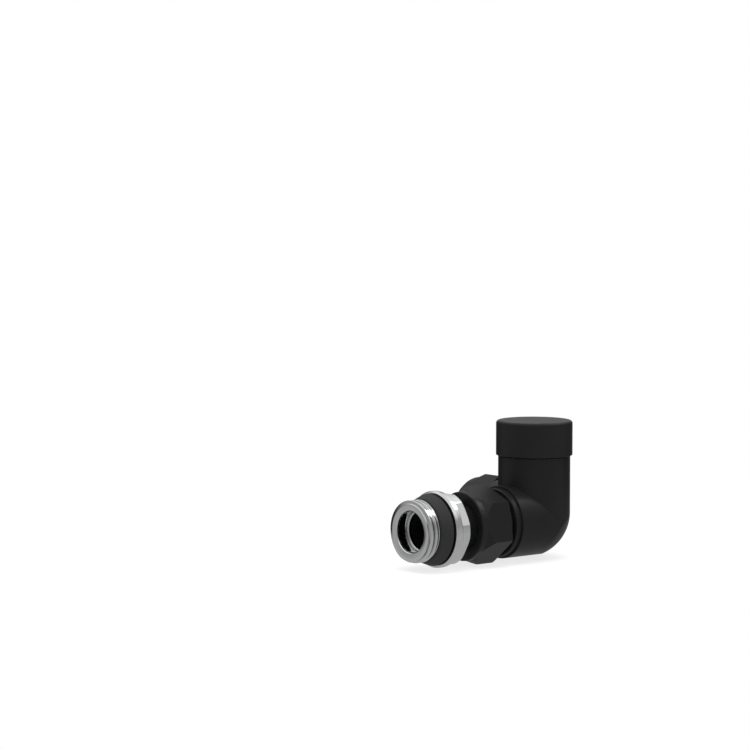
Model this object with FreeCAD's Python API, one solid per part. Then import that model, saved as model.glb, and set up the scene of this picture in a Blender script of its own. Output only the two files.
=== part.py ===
"""Corner lockshield valve for a radiator, one STEP file for each piece.

Pieces are drawn about the crossing of the three barrel axes. +Z runs up the spindle
axis, the radiator port leaves along -Y and the pipe port along -X. The finished pieces
are moved so that the origin is the centre of the pipe stop. Sizes are millimetres.
Pieces of a port are drawn with their axis along +Z, measured outwards from the crossing,
and are then turned onto their port. Outlines are lists of (along the axis, radius).
"""
import FreeCAD, Part
import math
import os

# Fits
RUNNING = 0.05            # radial clearance of a turning or sliding fit
STACK_GAP = 0.05          # axial gap between stacked turning pieces
THREAD_PLAY = 0.10        # radial play of a nut over a thread crest

# Pipe, parallel pipe thread and the two ports
PIPE_BORE = 7.6           # radius of the entry for a 15 mm pipe
SPIGOT_WALL = 1.516       # between the pipe bore and the thread root
THREAD_DEPTH = 1.162
THREAD_PITCH = 1.814
THREAD_LAND = 0.30        # flat on each thread crest
SHOULDER_STEP = 1.322     # shoulder above the thread crest
PORT_STEP = 0.7           # barrel above the shoulder
PORT_LENGTH = 15.8        # crossing to the end face of a port barrel
SHOULDER_LENGTH = 2.2
RELIEF_LENGTH = 0.9       # plain groove between the shoulder and the thread
SPIGOT_LENGTH = 9.0       # shoulder to the mouth
SOCKET_DEPTH = 17.5       # mouth to the pipe stop
MOUTH_FLARE = 1.3         # cone at the mouth that seats the olive
PIPE_PORT_SINK = 3.9      # spigot, nut and olive further in than on the radiator port

# Body and headwork seat
BARREL_WALL = 3.8         # around the bonnet thread
BODY_TOP = 21.6
CORNER_SHIFT = 2.2        # of the rounding sphere's centre, along each barrel
EDGE_BREAK = 0.3
BONNET_THREAD = 8.5       # radius of the bonnet's thread in the body
BONNET_THREAD_LENGTH = 8.7
THREAD_RUNOUT = 0.4
CHAMBER_STEP = 0.5        # chamber wall inside the bonnet thread
CHAMBER_FLOOR = 1.0
SEAT_RADIUS = 4.2
SEAT_LIP = 1.2            # width of the raised seat
SEAT_RISE = 1.0
WATERWAY = 3.8
WATERWAY_OFFSET = 3.7     # up on the radiator side, down on the pipe side
SUMP = 0.7                # lower chamber below the waterway
SEAL_POCKET_WIDTH = 1.1
SEAL_POCKET_DEPTH = 1.4
BONNET_SEAL_SECTION = 0.52

# Bonnet and gland
BONNET_FLANGE_STEP = 2.2  # flange above the bonnet's thread
BONNET_FLANGE = 1.2
BONNET_HEX_FLATS = 18.0
BONNET_HEX = 3.0
SKIRT_WALL = 0.4          # gap between the skirt and the chamber wall
GUIDE_PLAY = 0.05
COLLAR_FLOOR = 1.6        # web under the spindle's collar
PACKING_WALL = 1.6        # radial room round the stem
GLAND_THREAD_STEP = 0.95
GLAND_SHANK = 2.35
GLAND_HEX_FLATS = 11.0
GLAND_HEX = 2.2

# Spindle, from the collar up
STEM = 3.0
SPINDLE_THREAD = 4.0
COLLAR = 1.2
THRUST_WASHER = 0.5
PACKING = 1.4
FOLLOWER = 0.5
SQUARE_FLATS = 4.8
SQUARE_START = 0.6        # above the gland nut

# Plug
PLUG_TRAVEL = 3.0
WASHER_RADIUS = 5.6
WASHER = 2.0
CARRIER_FLANGE_STEP = 1.0
CARRIER_FLANGE = 1.2
CARRIER_HEX_FLATS = 11.0
CARRIER_WEB = 2.6         # solid metal above the washer
TRAVEL_GAP = 0.4
LIFT_GAP = 0.1
SCREW_SHANK = 1.5
SCREW_HEAD_RADIUS = 2.6
SCREW_HEAD = 1.0
SCREW_SLOT = 0.7
DISC_RADIUS = 3.4
DISC = 0.8

# Cap
CAP_GAP = 0.35            # between the body's top and the cap's rim
CAP_OVERHANG = 0.75
CAP_HEIGHT = 11.85
CAP_WALL = 1.4
CAP_TOP = 1.5
CAP_ROUND = 1.0
CAP_HEADROOM = 0.7
LINER_HEIGHT = 3.5
LINER_LIFT = 0.3
LINER_SLOTS = 8
LINER_SLOT_WIDTH = 1.2
LINER_SLOT_HEIGHT = 2.4

# Compression nut and olive
NUT_WALL = 1.122          # over the thread at the middle of a flat
NUT_REAR = 1.6            # thread seen between the relief and the nut
NUT_HEX = 7.3
NUT_CHAMFER = 3.0
NUT_COLLAR = 2.3
NUT_COLLAR_WALL = 1.27
NUT_RIM = 0.5
NUT_DISH = 1.1
NUT_HOLE_PLAY = 0.05
NUT_CONE = 1.4
RADIATOR_NUT_TURN = 9.6   # degrees from a corner at the top
PIPE_NUT_TURN = -5.0
OLIVE_BULGE = 1.15
OLIVE_END = 0.35
OLIVE_REAR = 0.8          # inside the mouth
OLIVE_TAPER = 1.0
OLIVE_BAND = 1.4
OLIVE_NOSE = 1.4

# Radiator tail
TAIL_THREAD_STEP = 0.2    # tail's thread crest above the spigot's
TUBE_WALL = 1.15
TUBE_GAP = 0.2            # tube end to the pipe stop
TUBE_REACH = 6.0          # plain tube seen beyond the nut
TAIL_HEX_WALL = 4.05      # tube to the middle of a flat
TAIL_HEX_TURNED = 0.7     # turned-down corners above the flats
TAIL_HEX = 3.8
TAIL_HEX_TURN = 0.0       # degrees from a corner towards the pipe port
FLANGE_STEP = 2.382       # above the thread crest
FLANGE = 1.7
FLANGE_BEVEL = 0.46
FLANGE_BEVEL_LENGTH = 0.8
NECK_STEP = 0.55          # neck under the seal ring, above the thread root
SEAL_LENGTH = 5.0
SEAL_WALL = 2.184         # over the neck, by the flange
SEAL_NOSE_WALL = 0.734    # over the neck, by the thread
SEAL_EDGE = 0.85
TAIL_THREAD = 4.4
TAIL_END_FACE = 1.7       # width of the flat end face
TAIL_END_BEVEL = 0.55
TAIL_LIP_STEP = 0.55      # lip bore inside the tube's outside
TAIL_LIP = 1.2
TAIL_BORE_STEP = 0.4      # bore behind the lip
TAIL_BORE_DEPTH = 5.1
TAIL_LEDGE = 1.4

# Worked out: ports
THREAD_ROOT = PIPE_BORE + SPIGOT_WALL
THREAD_CREST = THREAD_ROOT + THREAD_DEPTH
SHOULDER_RADIUS = THREAD_CREST + SHOULDER_STEP
PORT_RADIUS = SHOULDER_RADIUS + PORT_STEP
SHOULDER_END = PORT_LENGTH + SHOULDER_LENGTH
MOUTH = SHOULDER_END + SPIGOT_LENGTH
PIPE_STOP = MOUTH - SOCKET_DEPTH
PIPE_MOUTH = MOUTH - PIPE_PORT_SINK

# Worked out: body
BARREL_RADIUS = BONNET_THREAD + BARREL_WALL
CORNER_RADIUS = max(PORT_RADIUS, BARREL_RADIUS) + CORNER_SHIFT * math.sqrt(2)
SEAT_TOP = CHAMBER_FLOOR + SEAT_RISE
SHANK_BOTTOM = BODY_TOP - BONNET_THREAD_LENGTH
CHAMBER_RADIUS = BONNET_THREAD - CHAMBER_STEP
SUMP_BOTTOM = -(WATERWAY_OFFSET + WATERWAY + SUMP)
POCKET_RADIUS = BONNET_THREAD + SEAL_POCKET_WIDTH

# Worked out: headwork
BONNET_FLANGE_RADIUS = BONNET_THREAD + BONNET_FLANGE_STEP
HEX_BOTTOM = BODY_TOP + BONNET_FLANGE
BONNET_TOP = HEX_BOTTOM + BONNET_HEX
PACKING_RADIUS = STEM + PACKING_WALL
GLAND_THREAD = PACKING_RADIUS + GLAND_THREAD_STEP
GLAND_FOOT = BONNET_TOP - GLAND_SHANK
FOLLOWER_BOTTOM = GLAND_FOOT - STACK_GAP - FOLLOWER
PACKING_BOTTOM = FOLLOWER_BOTTOM - STACK_GAP - PACKING
SPINDLE_SEAL_SECTION = PACKING_WALL / 2 - RUNNING
SPINDLE_SEAL_BOTTOM = PACKING_BOTTOM - STACK_GAP - 2 * SPINDLE_SEAL_SECTION
THRUST_BOTTOM = SPINDLE_SEAL_BOTTOM - STACK_GAP - THRUST_WASHER
COLLAR_BOTTOM = THRUST_BOTTOM - STACK_GAP - COLLAR
COLLAR_SEAT = COLLAR_BOTTOM - STACK_GAP
GUIDE_TOP = COLLAR_SEAT - COLLAR_FLOOR
GLAND_TOP = BONNET_TOP + GLAND_HEX

# Worked out: plug, in its closed place
CARRIER_BOTTOM = SEAT_TOP + WASHER
CARRIER_FLANGE_TOP = CARRIER_BOTTOM + CARRIER_FLANGE
CARRIER_TOP = GUIDE_TOP - PLUG_TRAVEL - LIFT_GAP
CARRIER_FLANGE_RADIUS = WASHER_RADIUS + CARRIER_FLANGE_STEP
THREAD_HOLE_BOTTOM = CARRIER_BOTTOM + CARRIER_WEB
SPINDLE_END = THREAD_HOLE_BOTTOM + PLUG_TRAVEL + TRAVEL_GAP
SKIRT_BOTTOM = CARRIER_FLANGE_TOP + PLUG_TRAVEL + TRAVEL_GAP
SKIRT_RADIUS = CHAMBER_RADIUS - SKIRT_WALL

# Worked out: cap
CAP_BOTTOM = BODY_TOP + CAP_GAP
CAP_CEILING = CAP_BOTTOM + CAP_HEIGHT - CAP_TOP
CAP_RADIUS = BARREL_RADIUS + CAP_OVERHANG
CAP_INSIDE = CAP_RADIUS - CAP_WALL
SPINDLE_TOP = CAP_CEILING - CAP_HEADROOM
LINER_BOTTOM = HEX_BOTTOM + LINER_LIFT

# Worked out: nut and olive, along a port
NUT_BORE = THREAD_CREST + THREAD_PLAY
NUT_FLATS = 2 * (NUT_BORE + NUT_WALL)
NUT_START = SHOULDER_END + RELIEF_LENGTH + NUT_REAR
NUT_HEX_END = NUT_START + NUT_HEX
NUT_COLLAR_START = NUT_HEX_END + NUT_CHAMFER
NUT_END = NUT_COLLAR_START + NUT_COLLAR
NUT_COLLAR_RADIUS = NUT_BORE + NUT_COLLAR_WALL
NUT_HOLE = PIPE_BORE + NUT_HOLE_PLAY

# Worked out: tail, along the radiator port
TUBE_RADIUS = PIPE_BORE - RUNNING
TUBE_BORE = TUBE_RADIUS - TUBE_WALL
TAIL_HEX_FLATS = 2 * (TUBE_RADIUS + TAIL_HEX_WALL)
TAIL_HEX_CORNER = TUBE_RADIUS + TAIL_HEX_WALL + TAIL_HEX_TURNED
TAIL_CREST = THREAD_CREST + TAIL_THREAD_STEP
TAIL_ROOT = TAIL_CREST - THREAD_DEPTH
FLANGE_RADIUS = TAIL_CREST + FLANGE_STEP
TAIL_LIP_BORE = TUBE_RADIUS - TAIL_LIP_STEP
TAIL_BORE = TAIL_LIP_BORE + TAIL_BORE_STEP
TAIL_START = NUT_END + TUBE_REACH
FLANGE_START = TAIL_START + TAIL_HEX
BEVEL_START = FLANGE_START + FLANGE
FLANGE_END = BEVEL_START + FLANGE_BEVEL_LENGTH
SEAL_START = FLANGE_END + STACK_GAP
SEAL_END = SEAL_START + SEAL_LENGTH
THREAD_START = SEAL_END + STACK_GAP
THREAD_END = THREAD_START + TAIL_THREAD
TAIL_END = THREAD_END + TAIL_END_BEVEL
NECK_RADIUS = TAIL_ROOT + NECK_STEP
SEAL_RADIUS = NECK_RADIUS + SEAL_WALL
SEAL_NOSE_RADIUS = NECK_RADIUS + SEAL_NOSE_WALL
LEDGE_FRONT = TAIL_END - TAIL_BORE_DEPTH
LEDGE_BACK = LEDGE_FRONT - TAIL_LEDGE


def rod(radius, start, end):
    """A cylinder on +Z between two heights."""
    return Part.makeCylinder(radius, end - start, FreeCAD.Vector(0, 0, start))


def tube(outer, inner, start, end):
    """A plain ring on +Z."""
    return rod(outer, start, end).cut(rod(inner, start, end))


def turned(outline):
    """A solid turned about +Z from a closed outline of (along, radius) points."""
    points = [FreeCAD.Vector(radius, 0, along) for along, radius in outline]
    face = Part.Face(Part.makePolygon(points + points[:1]))
    return face.revolve(FreeCAD.Vector(0, 0, 0), FreeCAD.Vector(0, 0, 1), 360)


def o_ring(inner, section, bottom):
    """A round-section ring with its bore and its lowest height given."""
    return Part.makeTorus(inner + section, section, FreeCAD.Vector(0, 0, bottom + section))


def prism(sides, flats, start, end, turn=0.0):
    """A regular prism on +Z, with a corner at the given angle from +X."""
    corner = flats / 2 / math.cos(math.pi / sides)
    points = []
    for index in range(sides + 1):
        angle = math.radians(turn) + 2 * math.pi * index / sides
        points.append(FreeCAD.Vector(corner * math.cos(angle), corner * math.sin(angle), start))
    return Part.Face(Part.makePolygon(points)).extrude(FreeCAD.Vector(0, 0, end - start))


def corner_radius(flats):
    """The radius over the corners of a hexagon."""
    return flats / math.sqrt(3)


def cut_thread(shape, crest, start, end):
    """Cuts ring grooves of the pipe thread's section between two places."""
    root = crest - THREAD_DEPTH
    half_mouth = (THREAD_PITCH - THREAD_LAND) / 2
    count = int((end - start) / THREAD_PITCH)
    for index in range(count):
        centre = end - THREAD_LAND - half_mouth - index * THREAD_PITCH
        groove = turned([
            (centre - half_mouth, crest),
            (centre, root),
            (centre + half_mouth, crest),
            (centre + half_mouth, crest + THREAD_DEPTH),
            (centre - half_mouth, crest + THREAD_DEPTH),
        ])
        shape = shape.cut(groove)
    return shape


def on_radiator_port(shape):
    """Turns a shape from +Z onto -Y."""
    placed = shape.copy()
    placed.rotate(FreeCAD.Vector(0, 0, 0), FreeCAD.Vector(1, 0, 0), 90)
    return placed


def on_pipe_port(shape):
    """Turns a shape from +Z onto -X."""
    placed = shape.copy()
    placed.rotate(FreeCAD.Vector(0, 0, 0), FreeCAD.Vector(0, 1, 0), -90)
    return placed


def sunk(shape):
    """Moves a shape from its place along the radiator port to that along the pipe port."""
    placed = shape.copy()
    placed.translate(FreeCAD.Vector(0, 0, -PIPE_PORT_SINK))
    return placed


def barrels():
    """Direction, radius and open end of the body's three barrels."""
    return [
        (FreeCAD.Vector(0, 0, 1), BARREL_RADIUS, BODY_TOP),
        (FreeCAD.Vector(0, -1, 0), PORT_RADIUS, PORT_LENGTH),
        (FreeCAD.Vector(-1, 0, 0), PORT_RADIUS, PORT_LENGTH),
    ]


def body_casting():
    """The outside of the body: three barrels that meet in a corner rounded by a sphere."""
    shift = CORNER_SHIFT
    through = []
    stubs = []
    opened = []
    for direction, radius, open_end in barrels():
        back = direction * -CORNER_RADIUS
        through.append(Part.makeCylinder(radius, 2 * CORNER_RADIUS, back, direction))
        stubs.append(Part.makeCylinder(radius, shift, FreeCAD.Vector(0, 0, 0), direction))
        opened.append(Part.makeCylinder(radius, open_end - shift, direction * shift, direction))
    crossing = through[0].common(through[1]).common(through[2])
    sphere = Part.makeSphere(CORNER_RADIUS, FreeCAD.Vector(-shift, -shift, shift))
    corner = crossing.fuse(stubs).removeSplitter().common(sphere)
    return corner.fuse(opened).removeSplitter()


def spigot():
    """The shoulder and threaded spigot that stand on the end face of a port."""
    blank = turned([
        (PORT_LENGTH - SHOULDER_LENGTH, 0),
        (PORT_LENGTH - SHOULDER_LENGTH, SHOULDER_RADIUS),
        (SHOULDER_END - EDGE_BREAK, SHOULDER_RADIUS),
        (SHOULDER_END, SHOULDER_RADIUS - EDGE_BREAK),
        (SHOULDER_END, THREAD_ROOT),
        (SHOULDER_END + RELIEF_LENGTH, THREAD_ROOT),
        (SHOULDER_END + RELIEF_LENGTH, THREAD_CREST),
        (MOUTH - EDGE_BREAK, THREAD_CREST),
        (MOUTH, THREAD_CREST - EDGE_BREAK),
        (MOUTH, 0),
    ])
    return cut_thread(blank, THREAD_CREST, SHOULDER_END + RELIEF_LENGTH, MOUTH - EDGE_BREAK)


def pipe_socket(mouth):
    """The bore that takes the pipe or the tail's tube, with the olive's cone at its mouth."""
    return turned([
        (PIPE_STOP, 0),
        (PIPE_STOP, PIPE_BORE),
        (mouth - MOUTH_FLARE, PIPE_BORE),
        (mouth, PIPE_BORE + MOUTH_FLARE),
        (mouth + 1, PIPE_BORE + MOUTH_FLARE),
        (mouth + 1, 0),
    ])


def valve_body():
    """The body with its chambers, seat, waterways, sockets and bonnet thread."""
    shape = body_casting()
    shape = shape.fuse([on_radiator_port(spigot()), on_pipe_port(sunk(spigot()))])
    chamber = turned([
        (CHAMBER_FLOOR, SEAT_RADIUS + SEAT_LIP),
        (CHAMBER_FLOOR, CHAMBER_RADIUS),
        (SHANK_BOTTOM - THREAD_RUNOUT, CHAMBER_RADIUS),
        (SHANK_BOTTOM - THREAD_RUNOUT, BONNET_THREAD),
        (BODY_TOP - SEAL_POCKET_DEPTH, BONNET_THREAD),
        (BODY_TOP - SEAL_POCKET_DEPTH, POCKET_RADIUS),
        (BODY_TOP, POCKET_RADIUS),
        (BODY_TOP, 0),
        (SEAT_TOP, 0),
        (SEAT_TOP, SEAT_RADIUS + SEAT_LIP),
    ])
    shape = shape.cut(chamber).cut(rod(SEAT_RADIUS, SUMP_BOTTOM, SEAT_TOP))
    shape = shape.cut(on_radiator_port(pipe_socket(MOUTH)))
    shape = shape.cut(on_pipe_port(pipe_socket(PIPE_MOUTH)))
    to_radiator = on_radiator_port(rod(WATERWAY, CHAMBER_RADIUS - SEAT_LIP, PIPE_STOP + 1))
    to_radiator.translate(FreeCAD.Vector(0, 0, WATERWAY_OFFSET))
    to_pipe = on_pipe_port(rod(WATERWAY, 0, PIPE_STOP + 1))
    to_pipe.translate(FreeCAD.Vector(0, 0, -WATERWAY_OFFSET))
    return shape.cut(to_radiator).cut(to_pipe)


def bonnet():
    """The headwork: flange, hexagon, thread, and a skirt that guides the carrier."""
    outside = turned([
        (SKIRT_BOTTOM, 0),
        (SKIRT_BOTTOM, SKIRT_RADIUS),
        (SHANK_BOTTOM, SKIRT_RADIUS),
        (SHANK_BOTTOM, BONNET_THREAD - RUNNING),
        (BODY_TOP, BONNET_THREAD - RUNNING),
        (BODY_TOP, BONNET_FLANGE_RADIUS),
        (HEX_BOTTOM, BONNET_FLANGE_RADIUS),
        (HEX_BOTTOM, 0),
    ])
    corner = corner_radius(BONNET_HEX_FLATS)
    turned_hex = turned([
        (HEX_BOTTOM, 0),
        (HEX_BOTTOM, corner),
        (BONNET_TOP - EDGE_BREAK, corner),
        (BONNET_TOP, corner - 2 * EDGE_BREAK),
        (BONNET_TOP, 0),
    ])
    head = prism(6, BONNET_HEX_FLATS, HEX_BOTTOM, BONNET_TOP).common(turned_hex)
    guide = prism(6, CARRIER_HEX_FLATS + 2 * GUIDE_PLAY, SKIRT_BOTTOM, GUIDE_TOP)
    shape = outside.fuse(head).cut(guide)
    shape = shape.cut(rod(SPINDLE_THREAD + RUNNING, GUIDE_TOP, COLLAR_SEAT))
    shape = shape.cut(rod(PACKING_RADIUS, COLLAR_SEAT, GLAND_FOOT))
    return shape.cut(rod(GLAND_THREAD, GLAND_FOOT - STACK_GAP, BONNET_TOP))


def bonnet_seal():
    """O-ring round the bonnet's thread, in the body's pocket."""
    inner = BONNET_THREAD - RUNNING + STACK_GAP / 2
    return o_ring(inner, BONNET_SEAL_SECTION, BODY_TOP - SEAL_POCKET_DEPTH + STACK_GAP)


def spindle():
    """The spindle: lower thread, collar, stem and the square for the key."""
    shape = turned([
        (SPINDLE_END, 0),
        (SPINDLE_END, SPINDLE_THREAD - EDGE_BREAK),
        (SPINDLE_END + EDGE_BREAK, SPINDLE_THREAD),
        (COLLAR_BOTTOM, SPINDLE_THREAD),
        (COLLAR_BOTTOM, PACKING_RADIUS - RUNNING),
        (COLLAR_BOTTOM + COLLAR, PACKING_RADIUS - RUNNING),
        (COLLAR_BOTTOM + COLLAR, STEM),
        (SPINDLE_TOP - EDGE_BREAK, STEM),
        (SPINDLE_TOP, STEM - EDGE_BREAK),
        (SPINDLE_TOP, 0),
    ])
    square_bottom = GLAND_TOP + SQUARE_START
    waste = rod(STEM + 1, square_bottom, SPINDLE_TOP)
    waste = waste.cut(prism(4, SQUARE_FLATS, square_bottom, SPINDLE_TOP, 45))
    return shape.cut(waste)


def stem_ring(bottom, height):
    """A plain ring that fills the gland's bore round the stem."""
    return tube(PACKING_RADIUS - RUNNING, STEM + RUNNING, bottom, bottom + height)


def thrust_washer():
    """Slip washer on the spindle's collar."""
    return stem_ring(THRUST_BOTTOM, THRUST_WASHER)


def spindle_seal():
    """O-ring between the stem and the bonnet."""
    return o_ring(STEM + RUNNING, SPINDLE_SEAL_SECTION, SPINDLE_SEAL_BOTTOM)


def gland_packing():
    """Packing ring round the stem."""
    return stem_ring(PACKING_BOTTOM, PACKING)


def gland_follower():
    """Brass washer that presses the packing."""
    return stem_ring(FOLLOWER_BOTTOM, FOLLOWER)


def gland_nut():
    """Nut that holds the packing and the spindle in the bonnet."""
    corner = corner_radius(GLAND_HEX_FLATS)
    outside = turned([
        (BONNET_TOP, 0),
        (BONNET_TOP, corner),
        (GLAND_TOP - EDGE_BREAK, corner),
        (GLAND_TOP, corner - 2 * EDGE_BREAK),
        (GLAND_TOP, 0),
    ])
    head = prism(6, GLAND_HEX_FLATS, BONNET_TOP, GLAND_TOP).common(outside)
    shank = rod(GLAND_THREAD - RUNNING, GLAND_FOOT, BONNET_TOP)
    return head.fuse(shank).cut(rod(STEM + RUNNING, GLAND_FOOT, GLAND_TOP))


def plug_carrier():
    """The hexagon that the spindle's thread raises, with a flange for the washer."""
    flange = rod(CARRIER_FLANGE_RADIUS, CARRIER_BOTTOM, CARRIER_FLANGE_TOP)
    shape = prism(6, CARRIER_HEX_FLATS, CARRIER_FLANGE_TOP, CARRIER_TOP).fuse(flange)
    shape = shape.cut(rod(SPINDLE_THREAD + RUNNING, THREAD_HOLE_BOTTOM, CARRIER_TOP))
    return shape.cut(rod(SCREW_SHANK + RUNNING, CARRIER_BOTTOM, THREAD_HOLE_BOTTOM))


def seat_washer():
    """Rubber washer under the carrier."""
    return tube(WASHER_RADIUS, SCREW_SHANK + RUNNING, SEAT_TOP, CARRIER_BOTTOM)


def washer_disc():
    """Brass disc that spreads the screw's load over the washer."""
    return tube(DISC_RADIUS, SCREW_SHANK + RUNNING, SEAT_TOP - DISC, SEAT_TOP)


def washer_screw():
    """Cheese-head screw up through the disc and the washer."""
    head_top = SEAT_TOP - DISC
    head = rod(SCREW_HEAD_RADIUS, head_top - SCREW_HEAD, head_top)
    shank = rod(SCREW_SHANK, head_top, THREAD_HOLE_BOTTOM - EDGE_BREAK)
    corner = FreeCAD.Vector(-SCREW_HEAD_RADIUS, -SCREW_SLOT / 2, head_top - SCREW_HEAD)
    slot = Part.makeBox(2 * SCREW_HEAD_RADIUS, SCREW_SLOT, SCREW_HEAD / 2, corner)
    return head.fuse(shank).cut(slot)


def rim_edges(shape, height):
    """The circular edges at a height."""
    circles = [edge for edge in shape.Edges if isinstance(edge.Curve, Part.Circle)]
    return [edge for edge in circles if abs(edge.Curve.Center.z - height) < EDGE_BREAK / 2]


def lockshield_cap():
    """The plain round cap."""
    top = CAP_BOTTOM + CAP_HEIGHT
    shell = rod(CAP_RADIUS, CAP_BOTTOM, top)
    shell = shell.makeFillet(CAP_ROUND, rim_edges(shell, top))
    shell = shell.makeFillet(EDGE_BREAK, rim_edges(shell, CAP_BOTTOM))
    return shell.cut(rod(CAP_INSIDE, CAP_BOTTOM, CAP_CEILING))


def cap_liner():
    """Slotted plastic ring inside the cap that grips the bonnet's hexagon."""
    inner = corner_radius(BONNET_HEX_FLATS) + RUNNING
    shape = tube(CAP_INSIDE, inner, LINER_BOTTOM, LINER_BOTTOM + LINER_HEIGHT)
    for index in range(LINER_SLOTS):
        corner = FreeCAD.Vector(inner - 1, -LINER_SLOT_WIDTH / 2, LINER_BOTTOM)
        slot = Part.makeBox(CAP_WALL + 2, LINER_SLOT_WIDTH, LINER_SLOT_HEIGHT, corner)
        turn = 360 * (index + 0.5) / LINER_SLOTS
        slot.rotate(FreeCAD.Vector(0, 0, 0), FreeCAD.Vector(0, 0, 1), turn)
        shape = shape.cut(slot)
    return shape


def compression_nut(turn):
    """The nut of a port: hexagon, cone, plain collar and a dished end face."""
    corner = corner_radius(NUT_FLATS)
    outside = turned([
        (NUT_START, 0),
        (NUT_START, corner - 2 * EDGE_BREAK),
        (NUT_START + EDGE_BREAK, corner),
        (NUT_HEX_END, corner),
        (NUT_COLLAR_START, NUT_COLLAR_RADIUS),
        (NUT_END - NUT_RIM, NUT_COLLAR_RADIUS),
        (NUT_END, NUT_COLLAR_RADIUS - NUT_RIM),
        (NUT_END - NUT_DISH, NUT_HOLE),
        (NUT_END - NUT_DISH, 0),
    ])
    cone_end = NUT_END - NUT_DISH - NUT_CONE
    cone_start = cone_end - NUT_CONE
    inside = turned([
        (NUT_START, 0),
        (NUT_START, NUT_BORE + EDGE_BREAK),
        (NUT_START + EDGE_BREAK, NUT_BORE),
        (cone_start, NUT_BORE),
        (cone_start, NUT_HOLE + NUT_CONE),
        (cone_end, NUT_HOLE),
        (NUT_END, NUT_HOLE),
        (NUT_END, 0),
    ])
    return prism(6, NUT_FLATS, NUT_START, NUT_END, turn).common(outside).cut(inside)


def olive(bore):
    """A compression ring: a short band with a long and a short taper."""
    start = MOUTH - OLIVE_REAR
    band = start + OLIVE_TAPER
    nose = band + OLIVE_BAND
    return turned([
        (start, bore),
        (start, PIPE_BORE + OLIVE_END),
        (band, PIPE_BORE + OLIVE_BULGE),
        (nose, PIPE_BORE + OLIVE_BULGE),
        (nose + OLIVE_NOSE, PIPE_BORE + OLIVE_END),
        (nose + OLIVE_NOSE, bore),
    ])


def tail_tube():
    """The tube between the valve and the tail's chrome end."""
    return tube(TUBE_RADIUS, TUBE_BORE, PIPE_STOP + TUBE_GAP, LEDGE_BACK)


def tail_connector():
    """The chrome end: turned-down hexagon, flange, seal neck, thread and bore."""
    waist = turned([
        (TAIL_START, 0),
        (TAIL_START, TAIL_HEX_CORNER - 2 * EDGE_BREAK),
        (TAIL_START + EDGE_BREAK, TAIL_HEX_CORNER),
        (FLANGE_START, TAIL_HEX_CORNER),
        (FLANGE_START, 0),
    ])
    hexagon = prism(6, TAIL_HEX_FLATS, TAIL_START, FLANGE_START, TAIL_HEX_TURN).common(waist)
    front = turned([
        (FLANGE_START, 0),
        (FLANGE_START, FLANGE_RADIUS - EDGE_BREAK),
        (FLANGE_START + EDGE_BREAK, FLANGE_RADIUS),
        (BEVEL_START, FLANGE_RADIUS),
        (FLANGE_END, FLANGE_RADIUS - FLANGE_BEVEL),
        (FLANGE_END, NECK_RADIUS),
        (THREAD_START, NECK_RADIUS),
        (THREAD_START + TAIL_CREST - NECK_RADIUS, TAIL_CREST),
        (THREAD_END, TAIL_CREST),
        (TAIL_END, TAIL_LIP_BORE + TAIL_END_FACE),
        (TAIL_END, 0),
    ])
    bore = turned([
        (TAIL_START, 0),
        (TAIL_START, TUBE_RADIUS),
        (LEDGE_BACK, TUBE_RADIUS),
        (LEDGE_BACK, TUBE_BORE),
        (LEDGE_FRONT, TUBE_BORE),
        (LEDGE_FRONT, TAIL_BORE),
        (TAIL_END - TAIL_LIP, TAIL_BORE),
        (TAIL_END - TAIL_LIP, TAIL_LIP_BORE),
        (TAIL_END - EDGE_BREAK, TAIL_LIP_BORE),
        (TAIL_END, TAIL_LIP_BORE + EDGE_BREAK),
        (TAIL_END, 0),
    ])
    shape = hexagon.fuse(front).cut(bore)
    return cut_thread(shape, TAIL_CREST, THREAD_START + THREAD_LAND, THREAD_END)


def tail_seal_ring():
    """Tapered rubber ring between the tail's flange and its thread."""
    inner = NECK_RADIUS + RUNNING
    return turned([
        (SEAL_START, inner),
        (SEAL_START, SEAL_RADIUS - SEAL_EDGE),
        (SEAL_START + SEAL_EDGE, SEAL_RADIUS),
        (SEAL_END - EDGE_BREAK, SEAL_NOSE_RADIUS),
        (SEAL_END, SEAL_NOSE_RADIUS - EDGE_BREAK),
        (SEAL_END, inner),
    ])


def pieces():
    """Every piece by its node name, in place."""
    return {
        "valve_body": valve_body(),
        "bonnet": bonnet(),
        "bonnet_seal": bonnet_seal(),
        "thrust_washer": thrust_washer(),
        "spindle_seal": spindle_seal(),
        "gland_packing": gland_packing(),
        "gland_follower": gland_follower(),
        "gland_nut": gland_nut(),
        "spindle": spindle(),
        "plug_carrier": plug_carrier(),
        "seat_washer": seat_washer(),
        "washer_disc": washer_disc(),
        "washer_screw": washer_screw(),
        "lockshield_cap": lockshield_cap(),
        "cap_liner": cap_liner(),
        "tail_nut": on_radiator_port(compression_nut(90 + RADIATOR_NUT_TURN)),
        "tail_olive": on_radiator_port(olive(TUBE_RADIUS + RUNNING)),
        "tail_tube": on_radiator_port(tail_tube()),
        "tail_connector": on_radiator_port(tail_connector()),
        "tail_seal_ring": on_radiator_port(tail_seal_ring()),
        "pipe_nut": on_pipe_port(sunk(compression_nut(PIPE_NUT_TURN))),
        "pipe_olive": on_pipe_port(sunk(olive(PIPE_BORE))),
    }


def main():
    """Writes parts/NODE.step for each piece, with the origin at the pipe stop."""
    os.makedirs("parts", exist_ok=True)
    for name, shape in pieces().items():
        shape.translate(FreeCAD.Vector(PIPE_STOP, 0, 0))
        shape.exportStep("parts/" + name + ".step")
        print(name, shape.isValid(), len(shape.Solids), round(shape.Volume, 1))


main()
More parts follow.
